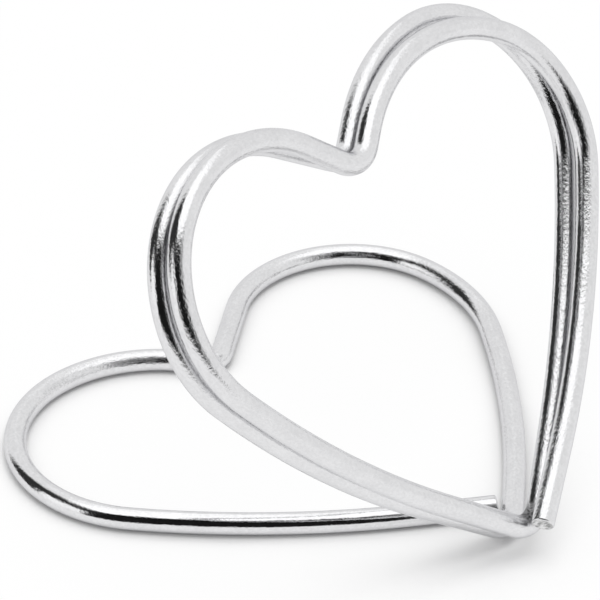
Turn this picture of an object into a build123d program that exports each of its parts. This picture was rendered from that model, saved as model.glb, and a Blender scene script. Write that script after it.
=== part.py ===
"""Place card holder: one length of round wire bent into a flat heart that lies on the table
and a heart of two close turns that leans up from its point and grips a card between the turns.

Frame: millimetres, +Z up, the table is z = 0. The origin is under the point where the base
heart turns up into the standing heart; +X is to the right and +Y to the back for someone who
faces the standing heart.
"""
import os
from math import atan2, cos, degrees, pi, radians, sin, sqrt, tan

from build123d import *

# Wire
WIRE_D = 2.0
WIRE_R = WIRE_D / 2
END_CHAMFER = 0.06 * WIRE_D

# Heart on the table: its turn and height, its two hand-bent halves and the place of its loose end
BASE_TURN = -7.8
BASE_HEIGHT = 36.7
BASE_NOTCH_R = 0.9 * WIRE_D
BASE_LEG_STRAIGHT = 7.0
BASE_LEFT_FLANK_ANGLE = 56.0
BASE_LEFT_FLANK = 0.8
BASE_LEFT_TOP_R = 12.5
BASE_LEFT_LOBE_R = 11.9
BASE_LEFT_LEG_ANGLE = 38.6
BASE_RIGHT_FLANK_ANGLE = 36.4
BASE_RIGHT_FLANK = 7.4
BASE_RIGHT_TOP_R = 10.6
BASE_RIGHT_CROWN = 84.0
BASE_RIGHT_LOBE_R = 16.5
BASE_RIGHT_LEG_ANGLE = 34.1
BASE_END_ALONG = 4.4
BASE_END_GAP = 0.15
BASE_END_SKEW = 0.3

# Standing heart: its lean and height and the hand-bent halves of its rear and front turns
LEAN = 58.9
HEIGHT = 36.0
LEG_STRAIGHT = 10.0
REAR_NOTCH_R = WIRE_D
REAR_LEFT_FLANK_ANGLE = 35.4
REAR_LEFT_FLANK = 6.1
REAR_LEFT_TOP_R = 12.6
REAR_LEFT_LOBE_R = 11.6
REAR_LEFT_LEG_ANGLE = 33.1
REAR_RIGHT_FLANK_ANGLE = 40.4
REAR_RIGHT_FLANK = 2.5
REAR_RIGHT_TOP_R = 16.6
REAR_RIGHT_LOBE_R = 11.2
REAR_RIGHT_LEG_ANGLE = 35.3
FRONT_NOTCH_R = 1.22 * WIRE_D
FRONT_LEFT_FLANK_ANGLE = 43.9
FRONT_LEFT_FLANK = 3.8
FRONT_LEFT_TOP_R = 12.0
FRONT_LEFT_CROWN = -9.1
FRONT_LEFT_LOBE_R = 11.6
FRONT_LEFT_LEG_ANGLE = 33.0
FRONT_RIGHT_FLANK_ANGLE = 41.2
FRONT_RIGHT_FLANK = 1.5
FRONT_RIGHT_TOP_R = 15.0
FRONT_RIGHT_CROWN = 34.6
FRONT_RIGHT_LOBE_R = 10.2
FRONT_RIGHT_LEG_ANGLE = 35.7

# Space between the two turns, measured square to their plane, and the shifts within it
FOOT_GAP = 0.9
TOP_GAP = 0.58
END_GAP = 0.65
FOOT_RISE = 0.23
TOP_DROP = 0.36
TOP_SHIFT = -0.86
END_DROP = 0.69
END_SHIFT = -3.48
END_CUT = 2.9

# Bends at the point of the hearts
RISER_ALONG = 1.0
RISER_R = 2 * WIRE_D
FOLD_R = 1.4 * WIRE_D

# Sampling step for the gap between neighbouring lengths of wire, and the run of wire it leaves out
GAP_STEP = 0.5
GAP_SKIP = 4 * WIRE_D


def ahead(angle):
    """Unit step for a heading measured from straight up toward the outside of the heart."""
    return Vector(sin(radians(angle)), cos(radians(angle)), 0)


def bend(start, heading, radius, turn):
    """Arc as (middle, end, new heading); a positive turn is clockwise."""
    side = 1 if turn > 0 else -1
    centre = start + ahead(heading + side * 90) * radius
    middle = centre - ahead(heading + turn / 2 + side * 90) * radius
    end = centre - ahead(heading + turn + side * 90) * radius
    return middle, end, heading + turn


def half_heart(lobe, height, tip_out):
    """Right half of a heart from its notch at (0, 0) to its point at (tip_out, -height).

    The crown is how far past level the top arc turns before the lobe arc takes over.
    Gives the corner points of arcs and straights, and where the last straight starts.
    """
    notch_r, flank_angle, flank, top_r, crown, lobe_r, leg_angle, leg_straight = lobe
    start = Vector(0, 0, 0)
    mid_1, end_1, heading = bend(start, 90, notch_r, -flank_angle)
    end_2 = end_1 + ahead(heading) * flank
    mid_3, end_3, heading = bend(end_2, heading, top_r, flank_angle + crown)
    mid_4, end_4, heading = bend(end_3, heading, lobe_r, 90 + leg_angle - crown)
    # The leg leaves the lobe on an arc that runs out into a straight of the stated length.
    tip = Vector(tip_out, -height, 0)
    across = end_4 - tip
    tangent = ahead(leg_angle)
    reach = (across.dot(across) - leg_straight**2) / (2 * (across.dot(tangent) + leg_straight))
    corner = end_4 - tangent * reach - tip
    foot_angle = degrees(atan2(corner.X, corner.Y))
    leg_r = reach / tan(radians(foot_angle - leg_angle) / 2)
    mid_5, end_5, heading = bend(end_4, heading, leg_r, foot_angle - leg_angle)
    arcs = [
        (start, mid_1, end_1),
        (end_1, end_2),
        (end_2, mid_3, end_3),
        (end_3, mid_4, end_4),
        (end_4, mid_5, end_5),
    ]
    return arcs, end_5, tip


def place_half(frame, lobe, notch, tip, side):
    """Edges of one half from the notch down, in space, with the two ends of its last straight."""
    rise = sqrt((notch.Y - tip.Y) ** 2 + (notch.Z - tip.Z) ** 2)
    up = Vector(0, notch.Y - tip.Y, notch.Z - tip.Z) / rise
    arcs, straight_start, point = half_heart(lobe, rise, (tip.X - notch.X) * side)

    def world(flat):
        local = notch + Vector(1, 0, 0) * (flat.X * side) + up * flat.Y
        return frame.from_local_coords(local)

    edges = []
    for points in arcs:
        placed = [world(point_2d) for point_2d in points]
        edges.append(Line(*placed) if len(placed) == 2 else ThreePointArc(*placed))
    return edges, world(straight_start), world(point)


def round_corner(corner, from_point, to_point, radius):
    """Arc between two straights that meet at a corner, as two halves split at its middle."""
    arm_a = (from_point - corner).normalized()
    arm_b = (to_point - corner).normalized()
    half_angle = radians(arm_a.get_angle(arm_b)) / 2
    trim = radius / tan(half_angle)
    inward = (arm_a + arm_b).normalized()
    centre = corner + inward * (radius / sin(half_angle))
    start = corner + arm_a * trim
    end = corner + arm_b * trim
    middle = centre - inward * radius
    first = centre + ((start - centre) + (middle - centre)).normalized() * radius
    second = centre + ((end - centre) + (middle - centre)).normalized() * radius
    first_half = ThreePointArc(start, first, middle)
    second_half = ThreePointArc(middle, second, end)
    return first_half, second_half, start, middle, end


def wire_along(edges):
    """Solid round wire swept along edges that join end to end without a corner."""
    path = Wire(edges)
    section = Plane(origin=path @ 0, z_dir=path % 0) * Circle(WIRE_R)
    return sweep(section, path=path), path


def dress_end(solid, end):
    """Break the sharp rim of a square cut end."""
    rims = solid.edges().filter_by(GeomType.CIRCLE)
    rim = rims.sort_by(lambda edge: (edge.arc_center - end).length)[0]
    return chamfer(rim, END_CHAMFER)


# Frames of the three hearts
tip_height = Vector(0, 0, WIRE_R)
lean_front = Vector(0, -sin(radians(LEAN)), cos(radians(LEAN)))
base_x = Vector(cos(radians(BASE_TURN)), sin(radians(BASE_TURN)), 0)
base_frame = Plane(origin=tip_height, x_dir=base_x, z_dir=(0, 0, 1))
rear_frame = Plane(origin=tip_height, x_dir=(1, 0, 0), z_dir=lean_front)
fold_point = Vector(0, FOOT_RISE, WIRE_D + FOOT_GAP)
front_frame = Plane(origin=rear_frame.from_local_coords(fold_point), x_dir=(1, 0, 0), z_dir=lean_front)

# Forms of the half hearts, from the notch down
base_left_top = (BASE_NOTCH_R, BASE_LEFT_FLANK_ANGLE, BASE_LEFT_FLANK, BASE_LEFT_TOP_R, 0)
base_left_form = (*base_left_top, BASE_LEFT_LOBE_R, BASE_LEFT_LEG_ANGLE, BASE_LEG_STRAIGHT)
base_right_top = (BASE_NOTCH_R, BASE_RIGHT_FLANK_ANGLE, BASE_RIGHT_FLANK, BASE_RIGHT_TOP_R)
base_right_side = (BASE_RIGHT_CROWN, BASE_RIGHT_LOBE_R, BASE_RIGHT_LEG_ANGLE, BASE_LEG_STRAIGHT)
base_right_form = (*base_right_top, *base_right_side)
rear_left_top = (REAR_NOTCH_R, REAR_LEFT_FLANK_ANGLE, REAR_LEFT_FLANK, REAR_LEFT_TOP_R, 0)
rear_left_form = (*rear_left_top, REAR_LEFT_LOBE_R, REAR_LEFT_LEG_ANGLE, LEG_STRAIGHT)
rear_right_top = (REAR_NOTCH_R, REAR_RIGHT_FLANK_ANGLE, REAR_RIGHT_FLANK, REAR_RIGHT_TOP_R, 0)
rear_right_form = (*rear_right_top, REAR_RIGHT_LOBE_R, REAR_RIGHT_LEG_ANGLE, LEG_STRAIGHT)
front_left_top = (FRONT_NOTCH_R, FRONT_LEFT_FLANK_ANGLE, FRONT_LEFT_FLANK, FRONT_LEFT_TOP_R)
front_left_side = (FRONT_LEFT_CROWN, FRONT_LEFT_LOBE_R, FRONT_LEFT_LEG_ANGLE, LEG_STRAIGHT)
front_left_form = (*front_left_top, *front_left_side)
front_right_top = (FRONT_NOTCH_R, FRONT_RIGHT_FLANK_ANGLE, FRONT_RIGHT_FLANK, FRONT_RIGHT_TOP_R)
front_right_side = (FRONT_RIGHT_CROWN, FRONT_RIGHT_LOBE_R, FRONT_RIGHT_LEG_ANGLE, LEG_STRAIGHT)
front_right_form = (*front_right_top, *front_right_side)
base_tip = Vector(0, 0, 0)

# Base heart: the right half runs to the point, the left half stops beside the right leg.
base_notch = Vector(0, BASE_HEIGHT, 0)
base_right, base_straight, _ = place_half(base_frame, base_right_form, base_notch, base_tip, 1)
leg_line = base_frame.to_local_coords(base_straight).normalized()
leg_side = Vector(-leg_line.Y, leg_line.X, 0)
base_end = leg_line * BASE_END_ALONG + leg_side * (WIRE_R + BASE_END_GAP + BASE_END_SKEW * WIRE_R)
base_left, left_straight, cut_a = place_half(base_frame, base_left_form, base_notch, base_end, -1)

# Standing heart, rear turn: from the point at the table to the fold in front of it
rear_notch = Vector(0, HEIGHT, 0)
riser_corner = base_frame.from_local_coords(leg_line * RISER_ALONG)
rear_foot = rear_frame.to_local_coords(riser_corner)
rear_left, rear_left_straight, _ = place_half(rear_frame, rear_left_form, rear_notch, rear_foot, -1)
rear_right_half = place_half(rear_frame, rear_right_form, rear_notch, fold_point, 1)
rear_right, rear_right_straight, fold_corner = rear_right_half

# Standing heart, front turn: from the fold to the free end
front_notch = Vector(TOP_SHIFT, HEIGHT - TOP_DROP - FOOT_RISE, TOP_GAP - FOOT_GAP)
front_aim = Vector(END_SHIFT, -END_DROP, WIRE_D + END_GAP)
front_left_half = place_half(front_frame, front_left_form, front_notch, base_tip, -1)
front_left, front_left_straight, _ = front_left_half
front_right_half = place_half(front_frame, front_right_form, front_notch, front_aim, 1)
front_right, front_right_straight, front_end = front_right_half
cut_b = front_end + (front_right_straight - front_end).normalized() * END_CUT

# Bends at the point
riser = round_corner(riser_corner, base_straight, rear_left_straight, RISER_R)
fold = round_corner(fold_corner, rear_right_straight, front_left_straight, FOLD_R)
riser_in, riser_out, riser_start, riser_middle, riser_end = riser
fold_in, fold_out, fold_start, fold_middle, fold_end = fold

base_path = [Line(cut_a, left_straight), *reversed(base_left), *base_right]
base_path += [Line(base_straight, riser_start), riser_in]
rear_path = [riser_out, Line(riser_end, rear_left_straight), *reversed(rear_left), *rear_right]
rear_path += [Line(rear_right_straight, fold_start), fold_in]
front_path = [fold_out, Line(fold_end, front_left_straight), *reversed(front_left), *front_right]
front_path += [Line(front_right_straight, cut_b)]

base_solid, base_line = wire_along(base_path)
rear_solid, rear_line = wire_along(rear_path)
front_solid, front_line = wire_along(front_path)
solids = {
    "base_heart": dress_end(base_solid, cut_a),
    "rear_turn": rear_solid,
    "front_turn": dress_end(front_solid, cut_b),
}

# Least clear gap between lengths of the standing wire that are not next to each other along it
points = []
for line in (rear_line, front_line):
    count = round(line.length / GAP_STEP)
    points += [line @ (i / count) for i in range(count + 1)]
skip = round(GAP_SKIP / GAP_STEP)
pairs = ((near, far) for i, near in enumerate(points) for far in points[i + skip :])
least = min((near - far).length for near, far in pairs)
print("least gap between neighbouring wire", round(least - WIRE_D, 3))
print("hinge point", tuple(fold_middle), "axis", tuple(front_line % 0))
print("cut ends", tuple(cut_a), tuple(cut_b))

os.makedirs("parts", exist_ok=True)
for (name, solid), line in zip(solids.items(), (base_line, rear_line, front_line)):
    full = pi * WIRE_R**2 * line.length
    print(name, "length", round(line.length, 2), "volume", round(solid.volume, 2), "of", round(full, 2))
    solid.label = name
    export_step(solid, f"parts/{name}.step")
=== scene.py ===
"""Place card holder bent from one length of polished wire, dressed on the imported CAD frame.

A heart lies on the table and turns up at its point into a leaning heart of two close turns.
The wire follows the same line as the CAD solids, from the same named sizes, in millimetres.
"""
from math import atan2, ceil, cos, degrees, pi, radians, sin, tan

import bpy
import numpy as np
from mathutils import Matrix, Vector


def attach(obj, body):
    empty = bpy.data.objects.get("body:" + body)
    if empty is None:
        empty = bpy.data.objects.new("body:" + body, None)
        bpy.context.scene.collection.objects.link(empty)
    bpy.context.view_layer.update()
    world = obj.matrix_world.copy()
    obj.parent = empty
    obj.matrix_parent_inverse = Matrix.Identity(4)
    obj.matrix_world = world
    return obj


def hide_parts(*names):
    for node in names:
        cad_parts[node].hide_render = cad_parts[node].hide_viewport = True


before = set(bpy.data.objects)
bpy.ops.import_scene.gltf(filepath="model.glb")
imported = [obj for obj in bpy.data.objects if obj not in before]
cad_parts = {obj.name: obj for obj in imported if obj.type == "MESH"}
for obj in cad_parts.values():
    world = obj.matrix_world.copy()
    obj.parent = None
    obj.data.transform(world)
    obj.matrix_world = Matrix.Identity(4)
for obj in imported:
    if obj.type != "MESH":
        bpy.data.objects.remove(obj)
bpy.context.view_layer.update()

MM = 0.001

# Wire
WIRE_D = 2.0
WIRE_R = WIRE_D / 2

# Heart on the table: its turn and height, its two hand-bent halves and the place of its loose end
BASE_TURN = -7.8
BASE_HEIGHT = 36.7
BASE_NOTCH_R = 0.9 * WIRE_D
BASE_LEG_STRAIGHT = 7.0
BASE_LEFT_FLANK_ANGLE = 56.0
BASE_LEFT_FLANK = 0.8
BASE_LEFT_TOP_R = 12.5
BASE_LEFT_LOBE_R = 11.9
BASE_LEFT_LEG_ANGLE = 38.6
BASE_RIGHT_FLANK_ANGLE = 36.4
BASE_RIGHT_FLANK = 7.4
BASE_RIGHT_TOP_R = 10.6
BASE_RIGHT_CROWN = 84.0
BASE_RIGHT_LOBE_R = 16.5
BASE_RIGHT_LEG_ANGLE = 34.1
BASE_END_ALONG = 4.4
BASE_END_GAP = 0.15
BASE_END_SKEW = 0.3

# Standing heart: its lean and height and the hand-bent halves of its rear and front turns
LEAN = 58.9
HEIGHT = 36.0
LEG_STRAIGHT = 10.0
REAR_NOTCH_R = WIRE_D
REAR_LEFT_FLANK_ANGLE = 35.4
REAR_LEFT_FLANK = 6.1
REAR_LEFT_TOP_R = 12.6
REAR_LEFT_LOBE_R = 11.6
REAR_LEFT_LEG_ANGLE = 33.1
REAR_RIGHT_FLANK_ANGLE = 40.4
REAR_RIGHT_FLANK = 2.5
REAR_RIGHT_TOP_R = 16.6
REAR_RIGHT_LOBE_R = 11.2
REAR_RIGHT_LEG_ANGLE = 35.3
FRONT_NOTCH_R = 1.22 * WIRE_D
FRONT_LEFT_FLANK_ANGLE = 43.9
FRONT_LEFT_FLANK = 3.8
FRONT_LEFT_TOP_R = 12.0
FRONT_LEFT_CROWN = -9.1
FRONT_LEFT_LOBE_R = 11.6
FRONT_LEFT_LEG_ANGLE = 33.0
FRONT_RIGHT_FLANK_ANGLE = 41.2
FRONT_RIGHT_FLANK = 1.5
FRONT_RIGHT_TOP_R = 15.0
FRONT_RIGHT_CROWN = 34.6
FRONT_RIGHT_LOBE_R = 10.2
FRONT_RIGHT_LEG_ANGLE = 35.7

# Space between the two turns, measured square to their plane, and the shifts within it
FOOT_GAP = 0.9
TOP_GAP = 0.58
END_GAP = 0.65
FOOT_RISE = 0.23
TOP_DROP = 0.36
TOP_SHIFT = -0.86
END_DROP = 0.69
END_SHIFT = -3.48
END_CUT = 2.9

# Bends at the point of the hearts
RISER_ALONG = 1.0
RISER_R = 2 * WIRE_D
FOLD_R = 1.4 * WIRE_D

# Mesh of the wire: spacing of its rings and points round each ring
RING_STEP = 0.3
RING_POINTS = 48

# Cut ends: (distance in from the end, part of the wire's radius) of the rings that round the rim
# and dish the face
CUT_RIM = [(0.14, 1.0), (0.075, 0.988), (0.03, 0.955), (0.005, 0.915), (0.0, 0.88)]
CUT_FACE = [(0.008, 0.82), (0.022, 0.7), (0.03, 0.5), (0.034, 0.25)]

# Flat map of the wire's skin, in parts of the map: strips side by side, with the end discs above
FLAT_STRIPS = 5
FLAT_STRIPS_TOP = 0.9
FLAT_SIDE_MARGIN = 0.02
FLAT_STRIP_MARGIN = 0.03
FLAT_DISC_FIRST = 0.06
FLAT_DISC_LAST = 0.2
FLAT_DISC_RISE = 0.05
FLAT_DISC_R = 0.04

# Polished wire. A noise has a stretch round and along the wire, a scale per millimetre, a detail
# and, where it isn't the usual one, a roughness. A range says what a value runs from and to, and
# what it becomes there. The way along the wire is in millimetres, and a bump is in metres.
SPOT = "wire_spot"
DRAWN_LINES = ((1, 1, 0.06), 9, 3)
CLOUDS = ((1, 1, 0.5), 0.9, 4)
GRAIN = ((1, 1, 0.7), 4.5, 3, 0.6)
GRAIN_PATCHES = ((0.6, 0.6, 0.16), 1, 2)
PATCH_RANGE = (0.42, 0.6, 0.5, 1)
SMOOTH_START = (34, 46, 0.35, 1)
GRAIN_TONE = 0.6
CLOUD_TONE = 0.4
TONE_RANGE = (0.3, 0.7, 0, 1)
METAL_DARK = (0.71, 0.71, 0.72, 1)
METAL_LIGHT = (0.80, 0.80, 0.81, 1)
METAL_EDGE = (0.8, 0.8, 0.81, 1)
CLOUD_ROUGHNESS = (0.35, 0.7, 0.035, 0.085)
LINES_ROUGHNESS = 0.06
LINES_BUMP = 0.1
WIRE_BUMP = 0.000045

# Painted shade in the fold's crevice: its place round and along the wire and its finish
FOLD_SIDE = (-0.2, 0.6, 0, 1)
FOLD_REACH = (0.8, 2.6, 1, 0)
FOLD_SHADE_GRAIN = (0.3, 0.6, 0.5, 1)
FOLD_SHADE_COLOUR = (0.05, 0.05, 0.05, 1)
FOLD_SHADE_ROUGHNESS = 0.3

# Shade inside the slit between the turns; the reach is in metres
SLIT_REACH = 0.0012
SLIT_SAMPLES = 8
SLIT_RANGE = (0.15, 0.75, 1, 0)
SLIT_SHADE = (0.36, 0.36, 0.37, 1)

# Sheared ends of the wire
SCORES = ((3, 0.8, 1), 1.6, 3)
SCORE_RANGE = (0.36, 0.62, 0, 1)
SHEARED_DARK = (0.3, 0.3, 0.3, 1)
SHEARED_LIGHT = (0.88, 0.88, 0.88, 1)
SHEARED_ROUGHNESS = (0, 1, 0.42, 0.26)
SHEARED_BUMP = 0.00004

# Table, in metres, and its lift toward white beside the wire and away from it
FLOOR_SIZE = 2.4
FLOOR_COLOUR = (0.95, 0.95, 0.95, 1)
FLOOR_NEAR = 0.014
FLOOR_SAMPLES = 16
FLOOR_OPEN = (0.55, 0.93)
FLOOR_LIFT_NEAR = 0.08
FLOOR_LIFT = 0.9

# Surroundings as the polished wire mirrors them: pale walls, a bright ceiling that comes lower at
# the back right, a white screen in a dark frame at the back left, a dim stretch in front and the
# dark side round the camera. A later panel covers an earlier one.
WHITE = (1, 1, 1, 1)
BACKGROUND = 1
DOME = 0.76
WALL = 0.94
CEILING = 1.35
CEILING_FROM = 58
CEILING_FULL = 65
PANELS = [
    # azimuth, elevation, half width, half height, corner and edge in degrees, level of light
    (133, 58, 16, 8, 8, 6, 1.25),
    (130, 54, 5, 15, 5, 3, 1.3),
    (229, 22, 46, 35.5, 12, 4, 0.035),
    (239.5, 9, 20, 25, 13, 3, 1.12),
    (338, 33, 12, 31, 9, 6, 0.25),
    (346, 50, 17, 11, 8, 6, 0.4),
    (298, 34.5, 33.5, 32.5, 7, 3.5, 0.01),
]
DEGREE = degrees(1)

# Soft light from above and a little in front
KEY_AZIMUTH = 330
KEY_ELEVATION = 76
KEY_ANGLE = 35
KEY_ENERGY = 0.95

# Camera of the photograph, in metres, degrees and millimetres
CAMERA_AT = Vector((-0.27810127, -0.19570107, 0.25409384))
CAMERA_AZIMUTH = -51.829852
CAMERA_ELEVATION = 33.974340
CAMERA_ROLL = 0.191704
CAMERA_SENSOR = 36
CAMERA_LENS = 298.983

# Sockets of the Mix node by number, because its names repeat
MIX_FACTOR = 0
MIX_LEVELS = (2, 3)
MIX_COLOURS = (6, 7)
MIX_LEVEL_OUT = 0
MIX_COLOUR_OUT = 2


def ahead(angle):
    """Unit step for a heading measured from straight up toward the outside of the heart."""
    return np.array([sin(radians(angle)), cos(radians(angle))])


def straight(start, heading, length):
    """Points and headings along a straight, without its first point."""
    count = max(1, ceil(length / RING_STEP))
    return [(start + ahead(heading) * (length * i / count), heading) for i in range(1, count + 1)]


def bend(start, heading, radius, turn):
    """Points and headings along an arc, without its first point; a positive turn is clockwise."""
    side = 90 if turn > 0 else -90
    centre = start + ahead(heading + side) * radius
    count = max(1, ceil(radians(abs(turn)) * radius / RING_STEP))
    headings = [heading + turn * i / count for i in range(1, count + 1)]
    return [(centre - ahead(angle + side) * radius, angle) for angle in headings]


def half_heart(lobe, height, tip_out):
    """Right half of a heart from its notch at (0, 0) to the straight that ends at its point."""
    notch_r, flank_angle, flank, top_r, crown, lobe_r, leg_angle, leg_straight = lobe
    trace = [(np.zeros(2), 90)]
    trace += bend(*trace[-1], notch_r, -flank_angle)
    trace += straight(*trace[-1], flank)
    trace += bend(*trace[-1], top_r, flank_angle + crown)
    trace += bend(*trace[-1], lobe_r, 90 + leg_angle - crown)
    tip = np.array([tip_out, -height])
    across = trace[-1][0] - tip
    tangent = ahead(leg_angle)
    reach = (across @ across - leg_straight**2) / (2 * (across @ tangent + leg_straight))
    corner = trace[-1][0] - tangent * reach - tip
    foot_angle = degrees(atan2(corner[0], corner[1]))
    leg_r = reach / tan(radians(foot_angle - leg_angle) / 2)
    trace += bend(*trace[-1], leg_r, foot_angle - leg_angle)
    return trace, tip


def plane(origin, x_dir, z_dir):
    """Frame as (origin, axes in columns)."""
    return origin, np.column_stack([x_dir, np.cross(z_dir, x_dir), z_dir])


def to_world(place, local):
    return place[0] + place[1] @ local


def to_local(place, point):
    return place[1].T @ (point - place[0])


def unit(vector):
    return vector / np.linalg.norm(vector)


def place_half(place, lobe, notch, tip, side):
    """Points and directions of one half from the notch down, and the tip, in space."""
    drop = notch - tip
    rise = np.hypot(drop[1], drop[2])
    flat_x = place[1] @ np.array([side, 0, 0])
    flat_y = place[1] @ np.array([0, drop[1], drop[2]]) / rise
    start = to_world(place, notch)
    trace, point = half_heart(lobe, rise, -drop[0] * side)
    line = []
    for (x, y), heading in trace:
        step_x, step_y = ahead(heading)
        line.append((start + flat_x * x + flat_y * y, flat_x * step_x + flat_y * step_y))
    return line, start + flat_x * point[0] + flat_y * point[1]


def back(line):
    """The same line followed the other way."""
    return [(point, -direction) for point, direction in reversed(line)]


def run(start, end):
    """Points and directions along a straight in space, without its first point."""
    count = max(1, ceil(np.linalg.norm(end - start) / RING_STEP))
    return [(start + (end - start) * i / count, unit(end - start)) for i in range(1, count + 1)]


def round_corner(corner, from_point, to_point, radius):
    """Two halves of the arc between two straights that meet at a corner, split at its middle."""
    arm_a = unit(from_point - corner)
    arm_b = unit(to_point - corner)
    half_angle = np.arccos(np.clip(arm_a @ arm_b, -1, 1)) / 2
    centre = corner + unit(arm_a + arm_b) * radius / sin(half_angle)
    start = corner + arm_a * radius / tan(half_angle)
    end = corner + arm_b * radius / tan(half_angle)
    sweep = pi - 2 * half_angle
    half_count = max(2, ceil(sweep * radius / RING_STEP / 2))
    arc = []
    for i in range(2 * half_count + 1):
        angle = sweep * i / (2 * half_count)
        spoke = ((start - centre) * sin(sweep - angle) + (end - centre) * sin(angle)) / sin(sweep)
        along = ((end - centre) * cos(angle) - (start - centre) * cos(sweep - angle)) / sin(sweep)
        arc.append((centre + spoke, unit(along)))
    return arc[: half_count + 1], arc[half_count:]


def vec(x, y, z):
    return np.array([x, y, z], dtype=float)


# Frames of the three hearts
lean_front = vec(0, -sin(radians(LEAN)), cos(radians(LEAN)))
base_x = vec(cos(radians(BASE_TURN)), sin(radians(BASE_TURN)), 0)
base_place = plane(vec(0, 0, WIRE_R), base_x, vec(0, 0, 1))
rear_place = plane(vec(0, 0, WIRE_R), vec(1, 0, 0), lean_front)
fold_point = vec(0, FOOT_RISE, WIRE_D + FOOT_GAP)
front_place = plane(to_world(rear_place, fold_point), vec(1, 0, 0), lean_front)

# Forms of the half hearts, from the notch down
base_left_top = (BASE_NOTCH_R, BASE_LEFT_FLANK_ANGLE, BASE_LEFT_FLANK, BASE_LEFT_TOP_R, 0)
base_left_form = (*base_left_top, BASE_LEFT_LOBE_R, BASE_LEFT_LEG_ANGLE, BASE_LEG_STRAIGHT)
base_right_top = (BASE_NOTCH_R, BASE_RIGHT_FLANK_ANGLE, BASE_RIGHT_FLANK, BASE_RIGHT_TOP_R)
base_right_side = (BASE_RIGHT_CROWN, BASE_RIGHT_LOBE_R, BASE_RIGHT_LEG_ANGLE, BASE_LEG_STRAIGHT)
base_right_form = (*base_right_top, *base_right_side)
rear_left_top = (REAR_NOTCH_R, REAR_LEFT_FLANK_ANGLE, REAR_LEFT_FLANK, REAR_LEFT_TOP_R, 0)
rear_left_form = (*rear_left_top, REAR_LEFT_LOBE_R, REAR_LEFT_LEG_ANGLE, LEG_STRAIGHT)
rear_right_top = (REAR_NOTCH_R, REAR_RIGHT_FLANK_ANGLE, REAR_RIGHT_FLANK, REAR_RIGHT_TOP_R, 0)
rear_right_form = (*rear_right_top, REAR_RIGHT_LOBE_R, REAR_RIGHT_LEG_ANGLE, LEG_STRAIGHT)
front_left_top = (FRONT_NOTCH_R, FRONT_LEFT_FLANK_ANGLE, FRONT_LEFT_FLANK, FRONT_LEFT_TOP_R)
front_left_side = (FRONT_LEFT_CROWN, FRONT_LEFT_LOBE_R, FRONT_LEFT_LEG_ANGLE, LEG_STRAIGHT)
front_left_form = (*front_left_top, *front_left_side)
front_right_top = (FRONT_NOTCH_R, FRONT_RIGHT_FLANK_ANGLE, FRONT_RIGHT_FLANK, FRONT_RIGHT_TOP_R)
front_right_side = (FRONT_RIGHT_CROWN, FRONT_RIGHT_LOBE_R, FRONT_RIGHT_LEG_ANGLE, LEG_STRAIGHT)
front_right_form = (*front_right_top, *front_right_side)
at_point = vec(0, 0, 0)

# Base heart
base_notch = vec(0, BASE_HEIGHT, 0)
base_right, _ = place_half(base_place, base_right_form, base_notch, at_point, 1)
leg_line = unit(to_local(base_place, base_right[-1][0]))
leg_side = vec(-leg_line[1], leg_line[0], 0)
base_end = leg_line * BASE_END_ALONG + leg_side * (WIRE_R + BASE_END_GAP + BASE_END_SKEW * WIRE_R)
base_left, cut_a = place_half(base_place, base_left_form, base_notch, base_end, -1)

# Standing heart
rear_notch = vec(0, HEIGHT, 0)
riser_corner = to_world(base_place, leg_line * RISER_ALONG)
rear_foot = to_local(rear_place, riser_corner)
rear_left, _ = place_half(rear_place, rear_left_form, rear_notch, rear_foot, -1)
rear_right, fold_corner = place_half(rear_place, rear_right_form, rear_notch, fold_point, 1)
front_notch = vec(TOP_SHIFT, HEIGHT - TOP_DROP - FOOT_RISE, TOP_GAP - FOOT_GAP)
front_aim = vec(END_SHIFT, -END_DROP, WIRE_D + END_GAP)
front_left, _ = place_half(front_place, front_left_form, front_notch, at_point, -1)
front_right, front_end = place_half(front_place, front_right_form, front_notch, front_aim, 1)
cut_b = front_end + unit(front_right[-1][0] - front_end) * END_CUT

# Bends at the point, and the three lengths of the one wire in the order it runs
riser_in, riser_out = round_corner(riser_corner, base_right[-1][0], rear_left[-1][0], RISER_R)
fold_in, fold_out = round_corner(fold_corner, rear_right[-1][0], front_left[-1][0], FOLD_R)


def whole_heart(left, right):
    """Left half from its foot up to the notch and right half down from it, as one line."""
    return back(left) + right[1:]


base_line = [(cut_a, unit(base_left[-1][0] - cut_a)), *run(cut_a, base_left[-1][0])[:-1]]
base_line += whole_heart(base_left, base_right)
base_line += run(base_right[-1][0], riser_in[0][0])[:-1] + riser_in
rear_line = riser_out + run(riser_out[-1][0], rear_left[-1][0])[:-1]
rear_line += whole_heart(rear_left, rear_right)
rear_line += run(rear_right[-1][0], fold_in[0][0])[:-1] + fold_in
front_line = fold_out + run(fold_out[-1][0], front_left[-1][0])[:-1]
front_line += whole_heart(front_left, front_right) + run(front_right[-1][0], cut_b)


def carried_normals(line, normal):
    """Normals carried along the line without twist, by two reflections at each step."""
    normals = [unit(normal - line[0][1] * (normal @ line[0][1]))]
    for (near, near_dir), (far, far_dir) in zip(line, line[1:]):
        chord = far - near
        turned = normals[-1] - chord * (2 * (chord @ normals[-1]) / (chord @ chord))
        heading = near_dir - chord * (2 * (chord @ near_dir) / (chord @ chord))
        rest = far_dir - heading
        size = rest @ rest
        if size > 0:
            turned = turned - rest * (2 * (rest @ turned) / size)
        normals.append(unit(turned - far_dir * (turned @ far_dir)))
    return normals


def add_object(name, data):
    made = bpy.data.objects.new(name, data)
    bpy.context.scene.collection.objects.link(made)
    return made


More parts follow.
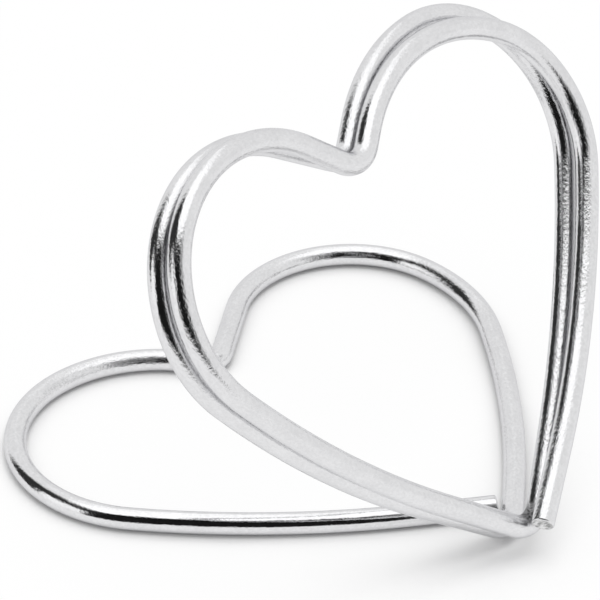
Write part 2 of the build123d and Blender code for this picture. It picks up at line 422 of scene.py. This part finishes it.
def wire_rings(line, normals, cut_first, cut_last):
    """Rings as (centre, direction, normal, radius, distance along), and the wire's length."""
    points = np.array([point for point, _ in line])
    along = np.concatenate([[0], np.cumsum(np.linalg.norm(np.diff(points, axis=0), axis=1))])
    length = along[-1]
    rim = CUT_RIM[0][0]
    spots = [(distance, 1) for distance in along]
    if cut_first:
        spots = [*reversed(CUT_RIM), *(spot for spot in spots if spot[0] > rim)]
    if cut_last:
        spots = [spot for spot in spots if spot[0] < length - rim]
        spots += [(length - inset, radius) for inset, radius in CUT_RIM]
    rings = []
    for distance, radius in spots:
        index = min(np.searchsorted(along, distance), len(along) - 1)
        low = max(index - 1, 0)
        part = 0 if index == low else (distance - along[low]) / (along[index] - along[low])
        centre = points[low] + (points[index] - points[low]) * part
        rings.append((centre, line[index][1], normals[index], radius * WIRE_R, distance))
    return rings, length


def wire_skin(rings, cut_first, cut_last):
    """Points, faces, whether each face is cut metal, and each point's place on the wire."""
    angles = np.arange(RING_POINTS) * 2 * pi / RING_POINTS
    verts, faces, cut_faces, marks = [], [], [], []

    def add_ring(centre, direction, normal, radius, distance):
        across = np.cross(direction, normal)
        for angle in angles:
            verts.append(centre + (normal * cos(angle) + across * sin(angle)) * radius)
            marks.append((cos(angle) * radius, sin(angle) * radius, distance))

    def join(low, high, is_cut):
        for i in range(RING_POINTS):
            j = (i + 1) % RING_POINTS
            faces.append((low + i, low + j, high + j, high + i))
            cut_faces.append(is_cut)

    def close_end(ring_index, outward, is_cut):
        """Disc over an end ring, dished if it is a cut."""
        centre, direction, normal, _, distance = rings[ring_index]
        last = ring_index * RING_POINTS
        sign = 1 if outward else -1
        for inset, radius in CUT_FACE if is_cut else []:
            here = len(verts)
            middle = centre - direction * (sign * inset)
            add_ring(middle, direction, normal, radius * WIRE_R, distance - sign * inset)
            join(*((last, here) if outward else (here, last)), True)
            last = here
        hub = len(verts)
        depth = CUT_FACE[-1][0] if is_cut else 0
        verts.append(centre - direction * (sign * depth))
        marks.append((0, 0, distance))
        for i in range(RING_POINTS):
            j = (i + 1) % RING_POINTS
            faces.append((last + i, last + j, hub) if outward else (last + j, last + i, hub))
            cut_faces.append(is_cut)

    for ring in rings:
        add_ring(*ring)
    for k in range(len(rings) - 1):
        join(k * RING_POINTS, (k + 1) * RING_POINTS, False)
    close_end(0, False, cut_first)
    close_end(len(rings) - 1, True, cut_last)
    return verts, faces, cut_faces, marks


def sharpen_rims(mesh, ring_indices):
    """Sharp rims round the flat ends, so that the round of the wire shades true up to them."""
    rims = set()
    for ring_index in ring_indices:
        first = ring_index * RING_POINTS
        for i in range(RING_POINTS):
            rims.add(frozenset((first + i, first + (i + 1) % RING_POINTS)))
    sharp = [frozenset(edge.vertices) in rims for edge in mesh.edges]
    mesh.attributes.new("sharp_edge", "BOOLEAN", "EDGE").data.foreach_set("value", sharp)


def lay_flat(mesh, rings, marks, length):
    """Flat map of the wire's skin: strips side by side, and the end discs in a row above them."""
    flat = mesh.uv_layers.new(name="OFBake")
    body_faces = (len(rings) - 1) * RING_POINTS
    strip_wide = 1 - 2 * FLAT_SIDE_MARGIN
    strip_tall = 1 - 2 * FLAT_STRIP_MARGIN
    for index, face in enumerate(mesh.polygons):
        for corner, loop in enumerate(face.loop_indices):
            x, y, distance = marks[face.vertices[corner]]
            if index < body_faces:
                ring, spoke = divmod(index, RING_POINTS)
                middle = (rings[ring][4] + rings[ring + 1][4]) / 2
                strip = min(int(middle / length * FLAT_STRIPS), FLAT_STRIPS - 1)
                turn = spoke + (1 if corner in (1, 2) else 0)
                u = (distance / length * FLAT_STRIPS - strip) * strip_wide + FLAT_SIDE_MARGIN
                v = strip + FLAT_STRIP_MARGIN + strip_tall * turn / RING_POINTS
                v = v / FLAT_STRIPS * FLAT_STRIPS_TOP
            else:
                disc = FLAT_DISC_FIRST if distance < length / 2 else FLAT_DISC_LAST
                u = disc + x / WIRE_R * FLAT_DISC_R
                v = FLAT_STRIPS_TOP + FLAT_DISC_RISE + y / WIRE_R * FLAT_DISC_R
            flat.data[loop].uv = (u, v)


def wire_piece(name, line, normals, start_along, cut_first, cut_last):
    """Closed mesh of one length of wire; a cut end gets a rounded rim and a dished face."""
    rings, length = wire_rings(line, normals, cut_first, cut_last)
    verts, faces, cut_faces, marks = wire_skin(rings, cut_first, cut_last)
    mesh = bpy.data.meshes.new(name)
    mesh.from_pydata([Vector(vert * MM) for vert in verts], [], faces)
    mesh.polygons.foreach_set("use_smooth", [True] * len(faces))
    mesh.polygons.foreach_set("material_index", [int(is_cut) for is_cut in cut_faces])
    placed = [(x, y, start_along + distance) for x, y, distance in marks]
    spots = mesh.attributes.new(SPOT, "FLOAT_VECTOR", "POINT")
    spots.data.foreach_set("vector", np.array(placed, dtype=np.float32).ravel())
    ends = ((0, cut_first), (len(rings) - 1, cut_last))
    sharpen_rims(mesh, [ring_index for ring_index, is_cut in ends if not is_cut])
    lay_flat(mesh, rings, marks, length)
    mesh.validate()
    mesh.update()
    return add_object(name, mesh)


# Parts of materials
def new_tree(owner):
    owner.use_nodes = True
    owner.node_tree.nodes.clear()
    return owner.node_tree


def node(tree, kind, **values):
    made = tree.nodes.new(kind)
    for key, value in values.items():
        setattr(made, key, value)
    return made


def put(tree, value, socket):
    """Link another node's output to a socket, or set the socket to a plain value."""
    if isinstance(value, bpy.types.NodeSocket):
        tree.links.new(value, socket)
    else:
        socket.default_value = value


def maths(tree, operation, *values):
    made = node(tree, "ShaderNodeMath", operation=operation)
    for value, socket in zip(values, made.inputs):
        put(tree, value, socket)
    return made.outputs[0]


def ranged(tree, value, *limits):
    """Smooth step of a value; the limits are its low and high and what they become."""
    made = node(tree, "ShaderNodeMapRange", clamp=True, interpolation_type="SMOOTHSTEP")
    for number, socket in zip((value, *limits), made.inputs):
        put(tree, number, socket)
    return made.outputs[0]


def noise(tree, spot, stretch, scale, detail, roughness=0.5):
    """Noise on the wire's skin, in millimetres, with its own stretch round and along the wire."""
    mapping = node(tree, "ShaderNodeMapping")
    put(tree, stretch, mapping.inputs["Scale"])
    put(tree, spot, mapping.inputs["Vector"])
    made = node(tree, "ShaderNodeTexNoise")
    put(tree, mapping.outputs[0], made.inputs["Vector"])
    put(tree, scale, made.inputs["Scale"])
    put(tree, detail, made.inputs["Detail"])
    put(tree, roughness, made.inputs["Roughness"])
    return made.outputs[0]


def dot(tree, direction, axis):
    made = node(tree, "ShaderNodeVectorMath", operation="DOT_PRODUCT")
    put(tree, direction, made.inputs[0])
    put(tree, axis, made.inputs[1])
    return made.outputs["Value"]


def height_of(tree, vector):
    """Last part of a vector: the way along the wire, or the height of a direction."""
    split = node(tree, "ShaderNodeSeparateXYZ")
    put(tree, vector, split.inputs[0])
    return split.outputs["Z"]


def mix_colours(tree, factor, first, second, blend="MIX"):
    made = node(tree, "ShaderNodeMix", data_type="RGBA", blend_type=blend)
    for value, index in zip((factor, first, second), (MIX_FACTOR, *MIX_COLOURS)):
        put(tree, value, made.inputs[index])
    return made.outputs[MIX_COLOUR_OUT]


def mix_levels(tree, factor, first, second):
    made = node(tree, "ShaderNodeMix", data_type="FLOAT")
    for value, index in zip((factor, first, second), (MIX_FACTOR, *MIX_LEVELS)):
        put(tree, value, made.inputs[index])
    return made.outputs[MIX_LEVEL_OUT]


def open_view(tree, reach, samples):
    """1 where nothing stands within reach of a surface, less where something does."""
    made = node(tree, "ShaderNodeAmbientOcclusion", samples=samples)
    put(tree, reach, made.inputs["Distance"])
    return made.outputs["AO"]


def show(tree, shader, kind="ShaderNodeOutputMaterial"):
    put(tree, shader.outputs[0], node(tree, kind).inputs["Surface"])


def metal(tree, colour, roughness, height, bump_distance):
    """Metal with its colour, roughness and bump from nodes, as the tree's surface."""
    shader = node(tree, "ShaderNodeBsdfPrincipled")
    put(tree, 1, shader.inputs["Metallic"])
    put(tree, colour, shader.inputs["Base Color"])
    put(tree, roughness, shader.inputs["Roughness"])
    bump = node(tree, "ShaderNodeBump")
    put(tree, 1, bump.inputs["Strength"])
    put(tree, bump_distance, bump.inputs["Distance"])
    put(tree, height, bump.inputs["Height"])
    put(tree, bump.outputs[0], shader.inputs["Normal"])
    show(tree, shader)
    return shader


def bright_wire(name, fold_along, fold_inward):
    """Polished plated wire: grain in patches, faint lines from drawing, painted shade in the fold.

    The grain is weaker at the start of the wire, and the slit between the turns is shaded.
    """
    material = bpy.data.materials.new(name)
    tree = new_tree(material)
    spot = node(tree, "ShaderNodeAttribute", attribute_name=SPOT).outputs["Vector"]
    along = height_of(tree, spot)
    drawn = noise(tree, spot, *DRAWN_LINES)
    cloud = noise(tree, spot, *CLOUDS)
    grain = noise(tree, spot, *GRAIN)

    # Painted shade: darker metal on the inner side of the fold, near its middle, broken by the
    # grain
    from_fold = maths(tree, "ABSOLUTE", maths(tree, "SUBTRACT", along, fold_along))
    inside = ranged(tree, dot(tree, spot, fold_inward), *FOLD_SIDE)
    near_fold = ranged(tree, from_fold, *FOLD_REACH)
    in_fold = maths(tree, "MULTIPLY", inside, near_fold)
    fold_shade = maths(tree, "MULTIPLY", in_fold, ranged(tree, grain, *FOLD_SHADE_GRAIN))

    cloud_tone = maths(tree, "MULTIPLY", cloud, CLOUD_TONE)
    tone = maths(tree, "MULTIPLY_ADD", grain, GRAIN_TONE, cloud_tone)
    clean = mix_colours(tree, ranged(tree, tone, *TONE_RANGE), METAL_DARK, METAL_LIGHT)
    # Painted shade of the fold, mixed over the clean metal's tone
    fold_shaded = mix_colours(tree, fold_shade, clean, FOLD_SHADE_COLOUR)
    in_slit = ranged(tree, open_view(tree, SLIT_REACH, SLIT_SAMPLES), *SLIT_RANGE)
    colour = mix_colours(tree, in_slit, fold_shaded, SLIT_SHADE, "MULTIPLY")

    cloud_rough = ranged(tree, cloud, *CLOUD_ROUGHNESS)
    clean_rough = maths(tree, "MULTIPLY_ADD", drawn, LINES_ROUGHNESS, cloud_rough)
    # Rougher metal where the fold's painted shade lies
    roughness = maths(tree, "MULTIPLY_ADD", fold_shade, FOLD_SHADE_ROUGHNESS, clean_rough)

    patches = ranged(tree, noise(tree, spot, *GRAIN_PATCHES), *PATCH_RANGE)
    share = maths(tree, "MULTIPLY", patches, ranged(tree, along, *SMOOTH_START))
    coarse = maths(tree, "MULTIPLY", grain, share)
    height = maths(tree, "MULTIPLY_ADD", drawn, LINES_BUMP, coarse)

    shader = metal(tree, colour, roughness, height, WIRE_BUMP)
    put(tree, METAL_EDGE, shader.inputs["Specular Tint"])
    return material


def cut_metal(name):
    """Sheared end of the wire: dull grey with the marks of the cutter across it."""
    material = bpy.data.materials.new(name)
    tree = new_tree(material)
    spot = node(tree, "ShaderNodeAttribute", attribute_name=SPOT).outputs["Vector"]
    scores = ranged(tree, noise(tree, spot, *SCORES), *SCORE_RANGE)
    colour = mix_colours(tree, scores, SHEARED_DARK, SHEARED_LIGHT)
    metal(tree, colour, ranged(tree, scores, *SHEARED_ROUGHNESS), scores, SHEARED_BUMP)
    return material


def white_table(name):
    """White table that keeps its shadows beside the wire and goes to plain white away from it."""
    material = bpy.data.materials.new(name)
    tree = new_tree(material)
    paper = node(tree, "ShaderNodeBsdfDiffuse")
    put(tree, FLOOR_COLOUR, paper.inputs["Color"])
    glow = node(tree, "ShaderNodeEmission")
    put(tree, WHITE, glow.inputs["Color"])
    put(tree, BACKGROUND, glow.inputs["Strength"])
    ray = node(tree, "ShaderNodeLightPath").outputs
    seen = maths(tree, "MAXIMUM", ray["Is Glossy Ray"], ray["Is Transmission Ray"])
    seen = maths(tree, "MAXIMUM", seen, ray["Is Camera Ray"])
    open_floor = open_view(tree, FLOOR_NEAR, FLOOR_SAMPLES)
    clear_of_wire = ranged(tree, open_floor, *FLOOR_OPEN, FLOOR_LIFT_NEAR, FLOOR_LIFT)
    lift = node(tree, "ShaderNodeMixShader")
    put(tree, maths(tree, "MULTIPLY", seen, clear_of_wire), lift.inputs[0])
    put(tree, paper.outputs[0], lift.inputs[1])
    put(tree, glow.outputs[0], lift.inputs[2])
    show(tree, lift)
    return material


def compass(azimuth, elevation):
    """Direction for an azimuth from the front (-Y) toward the right (+X) and an elevation."""
    turn, rise = radians(azimuth), radians(elevation)
    return Vector((sin(turn) * cos(rise), -cos(turn) * cos(rise), sin(rise)))


def panel(tree, direction, height, azimuth, elevation, wide, tall, corner, edge):
    """Round-cornered panel, 1 inside and 0 outside; half sizes, corner and edge in degrees."""
    side = dot(tree, direction, compass(azimuth + 90, 0))
    front = dot(tree, direction, compass(azimuth, 0))
    x = maths(tree, "MULTIPLY", maths(tree, "ARCTAN2", side, front), DEGREE)
    y = maths(tree, "SUBTRACT", height, elevation)
    squares = []
    for offset, reach in ((x, wide), (y, tall)):
        past = maths(tree, "SUBTRACT", maths(tree, "ABSOLUTE", offset), reach - corner)
        past = maths(tree, "MAXIMUM", past, 0)
        squares.append(maths(tree, "MULTIPLY", past, past))
    size = maths(tree, "SQRT", maths(tree, "ADD", *squares))
    return ranged(tree, size, corner - edge, corner + edge, 1, 0)


def studio(name):
    """World: an even dome for the light, the surroundings for the wire, white for the camera."""
    world = bpy.data.worlds.new(name)
    tree = new_tree(world)
    direction = node(tree, "ShaderNodeTexCoord").outputs["Generated"]
    rise = maths(tree, "ARCSINE", height_of(tree, direction))
    height = maths(tree, "MULTIPLY", rise, DEGREE)
    mirrored = ranged(tree, height, CEILING_FROM, CEILING_FULL, WALL, CEILING)
    for *form, light in PANELS:
        inside = panel(tree, direction, height, *form)
        mirrored = mix_levels(tree, inside, mirrored, light)
    ray = node(tree, "ShaderNodeLightPath").outputs
    lit = mix_levels(tree, ray["Is Glossy Ray"], DOME, mirrored)
    sky = node(tree, "ShaderNodeBackground")
    put(tree, WHITE, sky.inputs["Color"])
    put(tree, mix_levels(tree, ray["Is Camera Ray"], lit, BACKGROUND), sky.inputs["Strength"])
    show(tree, sky, "ShaderNodeOutputWorld")
    return world


# Normals of the whole wire, shared out to its three lengths
lines = (base_line, rear_line, front_line)
whole = base_line + rear_line[1:] + front_line[1:]
all_normals = carried_normals(whole, vec(0, 0, 1))
rear_first = len(base_line) - 1
front_first = rear_first + len(rear_line) - 1
base_normals = all_normals[: rear_first + 1]
rear_normals = all_normals[rear_first : front_first + 1]
front_normals = all_normals[front_first:]
line_normals = (base_normals, rear_normals, front_normals)

# Finish of the wire; the fold's place and inner side are where its painted shade is
lengths = []
for line in lines:
    steps = (np.linalg.norm(far[0] - near[0]) for near, far in zip(line, line[1:]))
    lengths.append(sum(steps))
fold_at, fold_way = front_line[0]
inward = unit(fold_in[0][0] + fold_out[-1][0] - 2 * fold_at)
fold_normal = front_normals[0]
fold_inward = (inward @ fold_normal, inward @ np.cross(fold_way, fold_normal), 0)
polished = bright_wire("polished_wire", lengths[0] + lengths[1], fold_inward)
sheared = cut_metal("sheared_end")

# Pieces: the stand carries the base and the rear turn, the clip is the front turn.
names = ("base_heart_wire", "rear_turn_wire", "front_turn_wire")
nodes = ("base_heart", "rear_turn", "front_turn")
bodies = ("stand", "stand", "clip")
cuts = ((True, False), (False, False), (False, True))
start_along = 0
for i, line in enumerate(lines):
    piece = wire_piece(names[i], line, line_normals[i], start_along, *cuts[i])
    piece.data.materials.append(polished)
    piece.data.materials.append(sheared)
    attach(piece, bodies[i])
    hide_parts(nodes[i])
    start_along += lengths[i]

# Table
half = FLOOR_SIZE / 2
floor_mesh = bpy.data.meshes.new("table_top")
floor_corners = [(-half, -half, 0), (half, -half, 0), (half, half, 0), (-half, half, 0)]
floor_mesh.from_pydata(floor_corners, [], [(0, 1, 2, 3)])
floor_mesh.materials.append(white_table("white_table"))
floor = add_object("table_top", floor_mesh)

# Surroundings, and the soft light, which the wire doesn't mirror
bpy.context.scene.world = studio("studio")
lamp = bpy.data.lights.new("soft_key", "SUN")
lamp.angle = radians(KEY_ANGLE)
lamp.energy = KEY_ENERGY
key_light = add_object("soft_key", lamp)
key_from = compass(KEY_AZIMUTH, KEY_ELEVATION)
key_light.rotation_euler = key_from.to_track_quat("Z", "Y").to_euler()
key_light.visible_glossy = False

# Camera
away = compass(CAMERA_AZIMUTH, CAMERA_ELEVATION)
level_right = compass(CAMERA_AZIMUTH + 90, 0)
level_up = away.cross(level_right)
roll = radians(CAMERA_ROLL)
camera_right = level_right * cos(roll) + level_up * sin(roll)
camera_up = level_up * cos(roll) - level_right * sin(roll)
camera_data = bpy.data.cameras.new("photo_view")
camera_data.sensor_width = CAMERA_SENSOR
camera_data.lens = CAMERA_LENS
camera = add_object("photo_view", camera_data)
camera_axes = Matrix((camera_right, camera_up, away)).transposed().to_4x4()
camera.matrix_world = Matrix.Translation(CAMERA_AT) @ camera_axes
bpy.context.scene.camera = camera
bpy.context.scene.view_settings.view_transform = "Standard"
